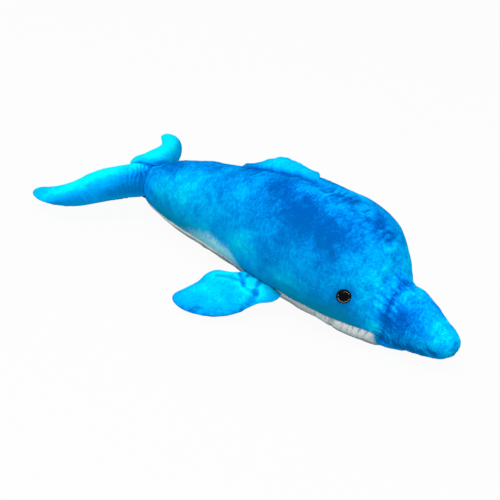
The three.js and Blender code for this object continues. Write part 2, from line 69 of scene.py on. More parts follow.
# Guide rails in hundredths: ridge (x, z), flank (x, z, half width), belly (x, z), seam angle below the flank
BODY_RAILS = [
    ((3.2, 50), (3.2, 32.1, 42), (3.2, 11.6), 40),
    ((7.8, 59), (7.8, 32.1, 51), (7.8, 7.6), 37),
    ((17.5, 70), (17.5, 36.5, 64.6), (17.5, 4.2), 36),
    ((27.9, 78.2), (27.9, 40.9, 75), (27.9, 2.9), 36),
    ((38.2, 90.2), (38.2, 46, 86.8), (38.2, 1.5), 38),
    ((48.6, 97.6), (48.6, 48.2, 95.6), (48.6, -0.4), 42),
    ((59, 97.8), (59, 48.9, 100), (59, -0.4), 38),
    ((66.2, 98.1), (65.9, 48.2, 100), (65.4, -0.4), 37),
    ((72.8, 91.4), (72.4, 43.1, 91.6), (71.4, -0.4), 31),
    ((78.2, 74), (77.8, 33.6, 70), (76.5, -0.4), 24),
    ((80.4, 56.8), (81.2, 31.4, 54.6), (79.4, -0.4), 25),
    ((83, 54), (84.8, 30, 46.4), (81.6, 0.6), 30),
]
BEAK_RAILS = [
    ((86, 53.6), (87.4, 30, 43.8), (84.8, 2.4), 46),
    ((89.2, 49), (90.2, 29, 38.8), (88.4, 6.2), 52),
    ((93.1, 42.4), (93.6, 27.4, 31.4), (93.1, 9.4), 54),
    ((97, 36.6), (97, 26, 24.5), (97, 13.2), 60),
    ((99.1, 31.4), (99.1, 25, 16.2), (99.1, 18.4), 90),
    ((100, 25), (100, 25, 0), (100, 25), 90),
]

# Limbs: length and ends of the root, reach and offset out from it, tilt and sweep in degrees.
# A fluke is also widened, fattened and lifted, and given painted light all over and painted shade at its
# fold.
FLIPPER = dict(root=0.052, reach=0.088, ends=(-0.5, 0.5), offset=-0.0008, tilt=-11, sweep=0)
FLUKE = dict(root=0.04, reach=0.118, ends=(-1.0, 0.0), offset=0.0008)
LIMBS = {
    "right_flipper": dict(FLIPPER, side=RIGHT),
    "left_flipper": dict(FLIPPER, side=LEFT),
    "dorsal_fin": dict(FLIPPER, side=LEFT, root=0.113, reach=0.047, ends=(-0.5, 0.47), tilt=12),
    "right_fluke": dict(
        FLUKE, side=RIGHT, tilt=-11, sweep=0,
        wide=0.16, wide_from=(15, 60), fat=0.5, lift=0.0015, painted_light=0.21, fold_shade=0.0,
    ),
    "left_fluke": dict(
        FLUKE, side=LEFT, tilt=-2, sweep=9,
        wide=-0.26, wide_from=(4, 50), fat=0.1, lift=0.0, painted_light=0.44, fold_shade=0.44,
    ),
}
# Outlines and middle lines are in hundredths of the root and the reach; corners are the shares of the
# outline between which the tip lies; a fold is a line, its reach and its depth.
KINDS = {
    "flipper": dict(
        outline=[
            (-74, 12), (-101, 20), (-107, 34), (-100, 52), (-102, 72), (-103, 89), (-86, 99),
            (-50, 101), (-11, 92), (16, 78), (30, 61), (35, 42), (40, 29), (54, 18), (57, 8),
        ],
        corners=(0.36, 0.6), rise=(0.011, 0.009), rows=24, columns=28, pressure=6.0, pucker=0.0007,
        folds=[
            ([(-48, 10), (-17, 22), (-4, 28)], 0.0022, 0.0012),
            ([(-32, 6), (-23, 17)], 0.0018, 0.0010),
            ([(-3, 3), (10, 14), (20, 22)], 0.0022, 0.0012),
            ([(7, 29), (22, 23)], 0.0020, 0.0010),
            ([(22, 23), (28, 36), (37, 49)], 0.0030, 0.0009),
            ([(-71, 35), (-48, 26), (-17, 22)], 0.0028, 0.0008),
        ],
    ),
    "fin": dict(
        outline=[(-55, 30), (-61, 70), (-50, 99), (-11, 97), (17, 78), (37, 38)],
        corners=(0.3, 0.5), rise=(0.0112, 0.0025), rows=16, columns=30, pressure=3.0, pucker=0.0002,
    ),
    "fluke": dict(
        outline=[
            (-123, 8), (-148, 24), (-151, 42), (-141, 58), (-164, 74), (-200, 87), (-198, 98),
            (-160, 102.5), (-112, 97), (-68, 85), (-33, 67), (5, 43), (44, 24),
        ],
        middle=[(0, -50), (43, -66), (67, -98), (90, -160), (102, -172)],
        corners=(0.42, 0.56), rise=(0.012, 0.012), rows=30, columns=26, pressure=6.0, pucker=0.0007,
    ),
}


# Noise and falloffs

HASH_STEPS = np.array([374761393, 668265263, 1274126177])
HASH_SEED = 974634777
HASH_MIXES = ((13, 1103515245), (16, 1664525))
NOISE_GAIN = 1.6


def noise3(p, seed):
    """Gradient noise of points, about -1 to 1, the same on every run."""
    cell = np.floor(p).astype(np.int64)
    f = p - cell
    s = f * f * f * (f * (f * 6 - 15) + 10)
    total = np.zeros(p.shape[:-1])
    for corner in np.ndindex(2, 2, 2):
        h = (cell + np.array(corner)) @ HASH_STEPS + seed * HASH_SEED
        for shift, factor in HASH_MIXES:
            h = (h ^ (h >> shift)) * factor & 0x7FFFFFFF
        a = (h & 0xFFFF) / 65536.0 * 2 * math.pi
        z = ((h >> 16) & 0x7FFF) / 16384.0 - 1
        r = np.sqrt(np.maximum(1 - z * z, 0))
        d = f - np.array(corner)
        g = d[..., 0] * r * np.cos(a) + d[..., 1] * r * np.sin(a) + d[..., 2] * z
        total += np.prod(np.where(corner, s, 1 - s), -1) * g
    return total * NOISE_GAIN


def smooth(low, high, x):
    """A soft step from 0 at low to 1 at high, which may be the smaller."""
    t = np.clip((x - low) / (high - low), 0, 1)
    return t * t * (3 - 2 * t)


def bell(d, reach):
    """1 at a line and little beyond its reach."""
    return np.exp(-((d / reach) ** 2))


# Curves of the rails and outlines

EVEN_STEPS = 2000


def hermite(p1, p2, m1, m2, w):
    """The cubic from p1 to p2 with slopes m1 and m2, at shares w."""
    return p1 + w * (m1 + w * (-3 * p1 + 3 * p2 - 2 * m1 - m2 + w * (2 * p1 - 2 * p2 + m1 + m2)))


def neighbours(ends, s):
    """The four points round each place s, and its share between the middle two."""
    i = np.minimum(s.astype(int), len(ends) - 4)
    w = (s - i).reshape(-1, *([1] * (ends.ndim - 1)))
    return *(ends[i + k] for k in range(4)), w


def even_cubic(ends, s):
    """A cubic through all points but the two ends, which only lead it."""
    p0, p1, p2, p3, w = neighbours(ends, s)
    return hermite(p1, p2, (p2 - p0) / 2, (p3 - p1) / 2, w)


def rail(points, t):
    """The rail through the points at shares t of its stations."""
    p = np.asarray(points, float)
    ends = np.vstack([2 * p[0] - p[1], p, 2 * p[-1] - p[-2]])
    p0, p1, p2, p3, w = neighbours(ends, np.clip(t, 0, 1) * (len(p) - 1))
    d0, d1, d2 = (np.sum((b - a) ** 2, -1, keepdims=True) ** 0.25 for a, b in ((p0, p1), (p1, p2), (p2, p3)))
    m1 = ((p1 - p0) / d0 - (p2 - p0) / (d0 + d1) + (p2 - p1) / d1) * d1
    m2 = ((p2 - p1) / d1 - (p3 - p1) / (d1 + d2) + (p3 - p2) / d2) * d1
    return hermite(p1, p2, m1, m2, w)


def spline(points, t):
    """An even spline through the points, with its ends held."""
    p = np.asarray(points, float)
    return even_cubic(np.concatenate([p[:1], p, p[-1:]]), np.clip(t, 0, 1) * (len(p) - 1))


def steps_along(p, axis):
    """Length from the first row or column to each point of a grid."""
    d = np.linalg.norm(np.diff(p, axis=axis), axis=-1)
    zero = np.zeros_like(np.take(d, [0], axis))
    return np.concatenate([zero, np.cumsum(d, axis)], axis)


def station(rails):
    """Points of the ridge, flank and belly at one station, and its seam's angle from the ridge."""
    *lines, seam = rails

    def place(x, z, width=0):
        return TAIL_X + x * BODY_LENGTH / 100, width * BODY_WIDTH / 200, z * BODY_HEIGHT / 100

    return *(place(*line) for line in lines), 90 + seam


TAIL_END = (
    (TAIL_X, 0, TAIL_HEIGHT + TAIL_RADIUS),
    (TAIL_X, TAIL_RADIUS, TAIL_HEIGHT),
    (TAIL_X, 0, TAIL_HEIGHT - TAIL_RADIUS),
    TAIL_SEAM,
)


class Skin:
    """The stuffed skin along a set of rails."""

    def __init__(self, stations):
        *self.lines, self.seams = ([s[k] for s in stations] for k in range(4))

    def seam(self, t):
        return np.radians(np.minimum(spline(self.seams, t), 180))

    def even(self, count):
        """Shares that step along the skin at about even lengths."""
        t = np.linspace(0, 1, EVEN_STEPS)
        run = sum(steps_along(rail(line, t), 0) for line in self.lines)
        return np.interp(np.linspace(0, run[-1], count), run, t)

    def points(self, t, angle, side):
        """The outer face at shares t (rows) and angles from the ridge (rows by columns)."""
        ridge, flank, belly = (rail(line, t)[:, None, :] for line in self.lines)
        upper = np.cos(angle) >= 0
        power = np.where(upper, 1, 2 / BELLY_SQUARENESS)
        rise = (np.abs(np.cos(angle)) ** power)[..., None]
        reach = np.maximum(np.sin(angle), 0) ** power
        middle = flank * np.array([1, 0, 1])
        p = middle + (np.where(upper[..., None], ridge, belly) - middle) * rise
        p[..., 1] = side * flank[..., 1] * reach
        p[..., 2] = np.maximum(p[..., 2], 0)
        return p


body_skin = Skin([TAIL_END, *map(station, BODY_RAILS)])
beak_skin = Skin([*map(station, [BODY_RAILS[-1], *BEAK_RAILS])])


# Grids, meshes and objects


def grid_faces(index, flip=False):
    """Quads between the point numbers of a grid."""
    quads = np.stack([index[:-1, :-1], index[1:, :-1], index[1:, 1:], index[:-1, 1:]], -1).reshape(-1, 4)
    return quads[:, ::-1] if flip else quads


def without_repeats(faces):
    """Faces with each point once, less those that have no area then."""
    corners = (list(dict.fromkeys(face)) for face in faces.tolist())
    return [face for face in corners if len(face) > 2]


def normals(p):
    n = np.cross(np.gradient(p, axis=0), np.gradient(p, axis=1))
    return n / np.maximum(np.linalg.norm(n, axis=-1, keepdims=True), 1e-12)


def unit(v):
    return v / np.linalg.norm(v)


def resample(values, count, axis):
    """More points along an axis of a grid, on a smooth curve through the old ones."""
    v = np.moveaxis(values, axis, 0)
    ends = np.concatenate([2 * v[:1] - v[1:2], v, 2 * v[-1:] - v[-2:-1]])
    return np.moveaxis(even_cubic(ends, np.linspace(0, len(v) - 1, count)), 0, axis)


def refine(grid, rows, columns):
    return resample(resample(grid, rows, 0), columns, 1)


def soften(values, passes):
    """Values averaged with their neighbours along the rows, ends kept."""
    v = values.copy()
    for _ in range(passes):
        v[1:-1] = (v[:-2] + 2 * v[1:-1] + v[2:]) / 4
    return v


def near_line(p, a, b):
    """Distance of points to a stretch of line, and how far along it they are."""
    d = b - a
    along = np.clip(((p - a) @ d) / (d @ d), 0, 1)
    return np.linalg.norm(p - a - along[..., None] * d, axis=-1), along * np.linalg.norm(d)


def add_object(name, data):
    obj = bpy.data.objects.new(name, data)
    scene.collection.objects.link(obj)
    return obj


def add_mesh(name, points, faces, attributes=()):
    """A smooth mesh with values on its points."""
    mesh = bpy.data.meshes.new(name)
    mesh.from_pydata(points.reshape(-1, 3).tolist(), [], faces)
    mesh.polygons.foreach_set("use_smooth", [True] * len(mesh.polygons))
    for key, values in dict(attributes).items():
        layer = mesh.attributes.new(key, "FLOAT", "POINT")
        layer.data.foreach_set("value", values.reshape(-1).astype(np.float32))
    mesh.update()
    return add_object(name, mesh)


def set_axes(obj, x, y, z, at):
    obj.matrix_world = Matrix([[x[k], y[k], z[k], at[k]] for k in range(3)] + [[0, 0, 0, 1]])


# Camera at the photograph's angle

CAMERA_AT = (0.6916, -0.91616, 0.639)
CAMERA_RIGHT = (0.74108, 0.65792, 0.13394)
CAMERA_UP = (-0.4044, 0.27814, 0.87126)
CAMERA_BACK = (0.53597, -0.69984, 0.47219)
camera = add_object("camera", bpy.data.cameras.new("camera"))
camera.data.lens = 83.89
camera.data.sensor_width = 36
camera.data.clip_end = 50
set_axes(camera, CAMERA_RIGHT, CAMERA_UP, CAMERA_BACK, CAMERA_AT)
scene.camera = camera


# Materials


class Nodes:
    """A short way to write the nodes of a material or of the world."""

    def __init__(self, owner, shader="Principled BSDF"):
        owner.use_nodes = True
        self.owner = owner
        self.tree = owner.node_tree
        self.shader = self.tree.nodes[shader]

    def add(self, kind, inputs=(), **settings):
        node = self.tree.nodes.new(f"ShaderNode{kind}")
        for key, value in settings.items():
            setattr(node, key, value)
        for key, value in dict(inputs).items():
            self.fill(node.inputs[key], value)
        return node

    def fill(self, socket, value):
        if isinstance(value, bpy.types.NodeSocket):
            self.tree.links.new(value, socket)
        else:
            socket.default_value = value

    def set(self, **values):
        for key, value in values.items():
            self.fill(self.shader.inputs[key.replace("_", " ")], value)

    def math(self, operation, *values, clamp=False):
        return self.add("Math", enumerate(values), operation=operation, use_clamp=clamp).outputs[0]

    def noise(
        self, scale, detail=3.0, roughness=0.55, distortion=0.0,
        offset=(0, 0, 0), turn=(0, 0, 0), stretch=(1, 1, 1),
    ):
        place = self.add("TexCoord").outputs["Object"], offset, turn, stretch
        grain = dict(Vector=self.add("Mapping", enumerate(place)).outputs[0], Scale=scale, Detail=detail)
        return self.add("TexNoise", dict(grain, Roughness=roughness, Distortion=distortion)).outputs["Fac"]

    def attribute(self, name):
        return self.add("Attribute", attribute_name=name).outputs["Fac"]

    def ramp(self, fac, stops):
        node = self.add("ValToRGB", {"Fac": fac})
        elements = node.color_ramp.elements
        while len(elements) < len(stops):
            elements.new(1)
        for element, (at, colour) in zip(elements, stops):
            element.position = at
            element.color = (*colour, 1)
        return node.outputs["Color"]

    def mix(self, fac, a, b):
        """A mix of two colours: sockets 6, 7 and 2 among those of all types."""
        return self.add("Mix", {0: fac, 6: a, 7: b}, data_type="RGBA").outputs[2]

    def seen(self):
        """1 where the camera sees the surface, also in a mirror or through glass."""
        path = self.add("LightPath").outputs
        seen = self.math("MAXIMUM", path["Is Camera Ray"], path["Is Glossy Ray"])
        return self.math("MAXIMUM", seen, path["Is Transmission Ray"])


def material_nodes(name):
    return Nodes(bpy.data.materials.new(name))


# colours of the dye by its tone
DYES = [
    (0.0, (0.0, 0.070, 0.42)), (0.2, (0.0, 0.125, 0.58)), (0.4, (0.0, 0.235, 0.80)),
    (0.6, (0.0, 0.385, 0.93)), (0.8, (0.0, 0.56, 1.0)), (1.0, (0.001, 0.86, 1.0)),
]
# dark teal: partly the dye's own teal, partly painted shade of low sides and rims
TEAL_AND_SHADE = (0.001, 0.25, 0.42, 1)
PALE = (0.90, 0.94, 0.92, 1)
# grey-beige that the pale cloth turns to under painted shade
SHADE_GREY = (0.36, 0.35, 0.30, 1)
SHEEN = (0.0, 0.75, 1.0, 1)
STROKE_SHARPNESS, STROKE_TONE, STROKE_LEVEL = -26.0, 0.13, -0.06


def plush_material(name):
    """Dyed crushed plush: the tone picks the dye, brushed streaks break it up; the tone and the masks that
    mix in teal and grey-beige also carry painted shade and light.
    """
    n = material_nodes(name)

    def swing(value, amount):
        return n.math("MULTIPLY", n.math("SUBTRACT", value, 0.5), amount)

    def add(*values):
        total = values[0]
        for value in values[1:]:
            total = n.math("ADD", total, value)
        return total

    wide = n.noise(34, distortion=0.8)
    brushed = dict(scale=400, roughness=0.6, distortion=0.6)
    one_way = n.noise(**brushed, offset=(0.3, 0.1, 0.7), turn=(0.4, 0.9, 0.3), stretch=(1, 0.22, 1))
    other_way = n.noise(**brushed, offset=(0.1, 0.5, 0.2), turn=(1.2, -0.5, 2.0), stretch=(1, 1, 0.22))
    lay = n.noise(46, detail=2, roughness=0.5, offset=(0.7, 0.2, 0.4))
    lay = n.math("MULTIPLY_ADD", n.math("SUBTRACT", lay, 0.5), 7.0, 0.5, clamp=True)
    other_way = n.math("MULTIPLY", other_way, n.math("SUBTRACT", 1.0, lay))
    streaks = add(n.math("MULTIPLY", one_way, lay), other_way)
    blots = n.noise(100, distortion=1.0, offset=(0.6, 0.3, 0.9))
    fine = n.noise(760, detail=2, roughness=0.6, offset=(0.9, 0.4, 0.2))
    strokes = []
    for offset, turn in (((0.5, 0.2, 0.1), (0.2, 1.1, 0.8)), ((0.2, 0.7, 0.3), (0.9, -0.4, 2.2))):
        line = n.noise(170, 2, 0.5, 0.9, offset, turn, stretch=(1, 0.2, 1))
        line = n.math("ABSOLUTE", n.math("SUBTRACT", line, 0.5))
        strokes.append(n.math("MULTIPLY_ADD", line, STROKE_SHARPNESS, 1.0, clamp=True))
    strokes = n.math("MULTIPLY_ADD", add(*strokes), STROKE_TONE, STROKE_LEVEL)
    broken = add(swing(streaks, 0.85), swing(blots, 0.5), swing(wide, 0.95), strokes)
    level = n.math("MULTIPLY_ADD", broken, n.attribute("crush"), n.attribute("tone"))
    dyed = n.mix(n.attribute("teal_and_shade"), n.ramp(add(level, swing(fine, 0.2)), DYES), TEAL_AND_SHADE)
    white = n.attribute("white")
    ragged = n.math("MULTIPLY", n.math("MULTIPLY", white, n.math("SUBTRACT", 1.0, white)), 4.0)
    edge = n.math("MULTIPLY_ADD", swing(streaks, 1.7), ragged, white, clamp=True)
    # the pale cloth is greyed towards grey-beige by a mask of painted shade, broken up by noise
    grey_shade_noise = n.noise(110, detail=4, roughness=0.6, distortion=0.5, offset=(0.2, 0.8, 0.5))
    grey_shade = n.math("MULTIPLY", add(grey_shade_noise, 0.3), n.attribute("grey_shade"), clamp=True)
    n.set(Base_Color=n.mix(edge, dyed, n.mix(grey_shade, PALE, SHADE_GREY)), Roughness=0.95, Specular_IOR_Level=0.0)
    n.set(Sheen_Weight=0.35, Sheen_Roughness=0.4, Sheen_Tint=SHEEN)
    pile = n.noise(1100, roughness=0.7, distortion=0.6)
    height = add(n.math("MULTIPLY", pile, 0.5), streaks, n.math("MULTIPLY", blots, 0.6))
    n.set(Normal=n.add("Bump", {"Height": height, "Strength": 0.3, "Distance": 0.0014}).outputs[0])
    return n.owner


plush = plush_material("blue_plush")


# Soft pieces

SIM_SCALE = 20.0  # the cloth is simulated at this scale, where its solver is steadier


def inflate(points, faces, held, pressure, frames=24, tension=60.0, bending=0.4, shrink=0.0):
    """Points of a cloth bag after its filling has pressed it out, with some points held."""
    bag = add_mesh("bag", points * SIM_SCALE, faces)
    bag.vertex_groups.new(name="held").add(held.tolist(), 1.0, "REPLACE")
    cloth = bag.modifiers.new("cloth", "CLOTH")
    settings = dict(
        vertex_group_mass="held", quality=6, mass=0.05, air_damping=2.0, bending_stiffness=bending,
        tension_stiffness=tension, compression_stiffness=tension, shear_stiffness=tension / 3,
        use_pressure=True, uniform_pressure_force=pressure, shrink_min=shrink, shrink_max=shrink,
    )
    for key, value in settings.items():
        setattr(cloth.settings, key, value)
    cloth.settings.effector_weights.gravity = 0
    cloth.collision_settings.use_collision = False
    cloth.point_cache.frame_start = 1
    cloth.point_cache.frame_end = frames
    for f in range(1, frames + 1):
        scene.frame_set(f)
    result = bag.evaluated_get(bpy.context.evaluated_depsgraph_get()).to_mesh()
    out = np.empty(len(points) * 3)
    result.vertices.foreach_get("co", out)
    mesh = bag.data
    bpy.data.objects.remove(bag)
    bpy.data.meshes.remove(mesh)
    scene.frame_set(1)
    return out.reshape(-1, 3) / SIM_SCALE


def dress(obj, nodes):
    obj.data.materials.append(plush)
    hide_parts(*nodes)


# Body, head and beak are one stuffed skin; its panels are cut from it along the seams

FINER = 4
CAP_ROWS, BODY_ROWS, BEAK_ROWS = 2, 56, 16
SIDE_COLUMNS, BELLY_COLUMNS = 27, 8
CAP_LENGTH, CAP_ANGLE = 0.008, 80
CREASE_ROWS, CREASE_PASSES = 2.2, 2.5  # how far and how often the crease is softened, on the coarse grid
TUCK = 0.005  # how far the throat is pulled up between the flippers and the chin
TUCK_SHARE, TUCK_REACH, TUCK_TOP = 0.665, 0.045, 0.036
MOUTH_OPEN = 0.05  # angle between the seams at which the lower beak ends
WELDS_PER_METRE = 2e4
RESTING_BELOW = 0.0012
BULGE = 0.5  # share of the simulated bulge that is kept


def length_share(p):
    return (p[..., 0] - TAIL_X) / BODY_LENGTH


def hull(finer):
    """Upper grid over the ridge from seam to seam, lower grid between them, rows of crease and mouth."""
    cap, rows, beak_rows = CAP_ROWS * finer, BODY_ROWS * finer, BEAK_ROWS * finer
    u = np.linspace(0, 1, SIDE_COLUMNS * finer + 1)
    w = np.linspace(-1, 1, 2 * BELLY_COLUMNS * finer + 1)
    tilt = np.linspace(math.radians(CAP_ANGLE), 0, cap + 1)[:-1, None, None]
    centre = np.array([TAIL_X, 0, TAIL_HEIGHT])
    parts = [(body_skin, body_skin.even(rows + 1)), (beak_skin, beak_skin.even(beak_rows + 1))]

    def whole(face):
        on_body, on_beak = (face(skin, t, skin.seam(t)[:, None]) for skin, t in parts)
        ring = on_body[:1] - centre
        end = centre + ring * np.cos(tilt) - np.array([CAP_LENGTH, 0, 0]) * np.sin(tilt)
        return np.concatenate([end, on_body, on_beak[1:]])

    def over(side):
        return whole(lambda skin, t, seam: skin.points(t, seam * u, side))

    def under(skin, t, seam):
        q = skin.points(t, math.pi - (math.pi - seam) * np.abs(w), LEFT)
        q[..., 1] *= np.sign(w)
        return q

    top = np.concatenate([over(RIGHT)[:, ::-1], over(LEFT)[:, 1:]], 1)
    low = whole(under)
    crease = cap + rows
    near = bell(np.arange(len(top)) - crease, CREASE_ROWS * finer)[:, None, None]
    top, low = (g + near * (soften(g, int(CREASE_PASSES * finer**2)) - g) for g in (top, low))
    for g in (top, low):
        tuck = bell(length_share(g) - TUCK_SHARE, TUCK_REACH) * np.clip(1 - g[..., 2] / TUCK_TOP, 0, 1)
        g[..., 2] += TUCK * tuck
    skin, t = parts[1]
    return top, low, crease, crease + int(np.argmax(skin.seam(t) >= math.pi - MOUTH_OPEN))


def stuffed_hull():
    """How far the filling presses the panels out between their seams, on the coarse grids."""
    top, low, *_ = hull(1)
    both = np.concatenate([top.reshape(-1, 3), low.reshape(-1, 3)])
    keys = np.round(both * WELDS_PER_METRE).astype(np.int64)
    _, where, back = np.unique(keys, axis=0, return_index=True, return_inverse=True)
    points = both[where]
    split = np.split(back.reshape(-1), [top[..., 0].size])
    top_index, low_index = (part.reshape(g.shape[:2]) for part, g in zip(split, (top, low)))
    faces = without_repeats(np.concatenate([grid_faces(top_index), grid_faces(low_index, True)]))
    held = [
        top_index[:, [0, top.shape[1] // 2, -1]], top_index[: CAP_ROWS + 1], low_index[: CAP_ROWS + 1],
        top_index[-2:], np.where(points[:, 2] < RESTING_BELOW)[0],
    ]
    held = np.unique(np.concatenate([part.ravel() for part in held]))
    moved = inflate(points, faces, held, pressure=4.0, frames=20, tension=50.0, bending=0.3, shrink=-0.008)
    step = (moved - points) * BULGE
    return step[top_index], step[low_index]


top, low, CREASE, MOUTH = hull(FINER)
for grid, step in zip((top, low), stuffed_hull()):
    grid += refine(step, *grid.shape[:2])
MIDDLE = top.shape[1] // 2
top_out, low_out = normals(top), -normals(low)


# Places on the body that its cloth follows: eyes and roots of the limbs

EYE_SHIFT = (-0.0014, -0.0003, -0.0005)
EYE_STEM = 0.013
STEM_END_POINTS = 20
EYES = {}
for label, side in (("right", RIGHT), ("left", LEFT)):
    node = frame["nodes"][f"{label}_eye"]
    co = np.empty(len(node.data.vertices) * 3)
    node.data.vertices.foreach_get("co", co)
    co = co.reshape(-1, 3)
    values, vectors = np.linalg.eigh(np.cov(co.T))
    # the eye is round, so its axis is the direction whose spread is unlike the other two
    axis = vectors[:, np.argmax(np.abs(values - values[1]))]
    axis = axis * np.sign(axis[1]) * side
    reach = (co - (co.min(0) + co.max(0)) / 2) @ axis
    stem_end = co[np.argsort(reach)[:STEM_END_POINTS]].mean(0)
    EYES[label] = (stem_end + axis * EYE_STEM + np.array(EYE_SHIFT) * [1, -side, 1], axis)

JOINTS = {j["child"]: (np.array(j["pos_m"], float), np.array(j["axis"], float)) for j in frame["joints"]}
ROOTS = []
for name in ("right_flipper", "left_flipper", "dorsal_fin"):
    at, axis = JOINTS[name]
    half = axis * LIMBS[name]["root"] / 2
    ROOTS.append((at - half, at + half))


# Relief and colour of the body's cloth; a pair is a height in metres or a change of tone, and its reach

RIDGE_SEAM, CREASE_SEAM = (0.0002, 0.003), (0.0009, 0.004)
ROOT_SEAM, EYE_SEAT = (0.0012, 0.006), (0.0014, 0.0095)
SEAM_ROLL = dict(width=0.0045, depth=0.0012)
SEAM_GATHERS, RIDGE_GATHERS, CREASE_GATHERS = (0.0005, 0.007), (0.0010, 0.013), (0.0007, 0.014)
ROOT_GATHERS, MOUTH_TUCKS = (0.0006, 0.012), (0.0003, 0.015)
ROOT_SHADE, THROAT_SHADE, RIDGE_FOLD_SHADE = (0.3, 0.005), (0.45, 0.022), (0.4, 0.012)
ROLLED = (0.42, 0.5)  # behind this span the side seam is a flat pale line, in front it is rolled
PILE = (0.00025, 330, 5), (0.0007, 55, 9), (0.0010, 24, 6)  # height, waves in a metre and seed
DYE_LEVEL, DYE_WANDER = 0.52, 0.10

# Dye patches on the right side, repeated on the left: place and reach in millimetres, tone in hundredths
PATCHES = [
    (31, -29, 122, 17, -25), (58, -37, 122, 19, -28), (83, -42, 120, 21, -46), (109, -48, 115, 21, -42),
    (129, -52, 107, 17, -22), (32, -15, 128, 15, -20), (-130, -10, 77, 24, -42), (-86, -16, 92, 20, -33),
    (-41, -17, 106, 22, -22), (-11, -8, 118, 20, -22), (107, -6, 136, 14, -16), (134, -40, 117, 12, -14),
    (155, 7, 119, 18, -5), (160, -12, 108, 16, 6), (88, -65, 88, 22, -10), (70, -66, 78, 24, -22),
    (-86, -37, 75, 26, 48), (-123, -31, 64, 18, 16), (-43, -37, 93, 18, 6), (1, -40, 106, 16, 8),
    (168, -35, 78, 20, 22), (152, -44, 100, 18, -10), (104, -23, 133, 16, 20), (83, -13, 134, 12, 10),
    (198, -21, 68, 14, 23), (193, -32, 51, 12, -18), (188, -30, 36, 14, 36), (207, -29, 50, 14, -14),
    (222, 2, 65, 18, 26), (255, -7, 49, 16, 10), (-48, -46, 40, 16, 22), (-14, -53, 46, 16, 24),
    (143, -18, 122, 24, -5), (178, -6, 92, 18, 14), (224, -18, 52, 18, -24), (258, -9, 40, 14, 14),
    (20, -62, 58, 20, 22), (90, -66, 52, 20, 28),
]
# upper edge of the brushed pale patch on the rear flank
PATCH_X = [-0.100, -0.079, -0.046, -0.024, 0.005, 0.014, 0.022, 0.030]
PATCH_Z = [0.016, 0.028, 0.042, 0.048, 0.046, 0.039, 0.029, 0.014]


def dye(p):
    tone = np.full(p.shape[:-1], DYE_LEVEL)
    q = np.where(p[..., 1:2] > 0, p * np.array([1, -1, 1]), p)
    for *at, reach, change in PATCHES:
        away = np.linalg.norm(q - np.array(at) / 1000, axis=-1)
        tone += change / 100 * bell(away, reach / 1000)
    return tone + DYE_WANDER * noise3(p * 22, 3)


def pale_patch(p):
    """How far the dye is brushed out on the low flank of the rear half."""
    x, z = p[..., 0], p[..., 2]
    edge = np.interp(x, PATCH_X, PATCH_Z) + 0.0025 * noise3(p * 160, 17)
    most = 0.45 + 0.55 * bell(x + 0.012, 0.034)
    return most * smooth(0.008, -0.007, z - edge) * smooth(0.07, 0.11, x - TAIL_X)


def ripple(along, across, spacing, run, seed):
    """Folds that run across a seam, at a spacing along it."""
    return noise3(np.stack([along / spacing, across / run, 0 * along + seed * 7.3], -1), seed)


def gathers(along, across, spacing, run, seed):
    """Puckered cloth: rounded crests with sharp valleys between them."""
    return 2.4 * np.abs(ripple(along, across, spacing, run, seed)) - 0.7


def tucks(along, across, spacing, seed):
    """Rounded crests at about even steps along a seam, with thin sharp valleys."""
    shift = 0.7 * ripple(along, across, 2.2 * spacing, 0.02, seed)
    return 1.3 * np.abs(np.sin(math.pi * (along / spacing + shift))) - 0.8


def dent(d, pair):
    """A height or tone at a line that fades with the distance from it."""
    return pair[0] * bell(d, pair[1])


def seam_roll(d, width, depth):
    """How far the face drops towards a seam at distance d: a rounded edge."""
    s = np.clip(1 - d / width, 0, 1)
    return depth * (1 - np.sqrt(np.maximum(1 - s * s, 0)))


def crushed(p, fine=1):
    """Relief of the crushed pile; its finest waves may fade."""
    layers = zip(PILE, (fine, 1, 1))
    return sum(height * fade * noise3(p * waves, seed) for (height, waves, seed), fade in layers)


def measure(p):
    """Runs along and across a grid, distances to seam and crease, length share, rows behind the crease."""
    along, across = steps_along(p, 0), steps_along(p, 1)
    to_seam = np.minimum(across, across[:, -1:] - across)
    behind = (np.arange(len(p)) < CREASE)[:, None]
    return along, across, to_seam, np.abs(along - along[CREASE]), length_share(p), behind


def sewn(to_seam, to_crease, share):
    """Relief of the seams round the body's panels."""
    rolled = (0.3 + 0.7 * smooth(*ROLLED, share)) * seam_roll(to_seam, **SEAM_ROLL)
    return -rolled - dent(to_crease, CREASE_SEAM)


# Painted shade in the relief's valleys and painted light on its crests: the tone follows the relief's height.
def painted_relief_shading(relief, gain=190, darkest=-0.35, brightest=0.2):
    return np.clip(relief * gain, darkest, brightest)


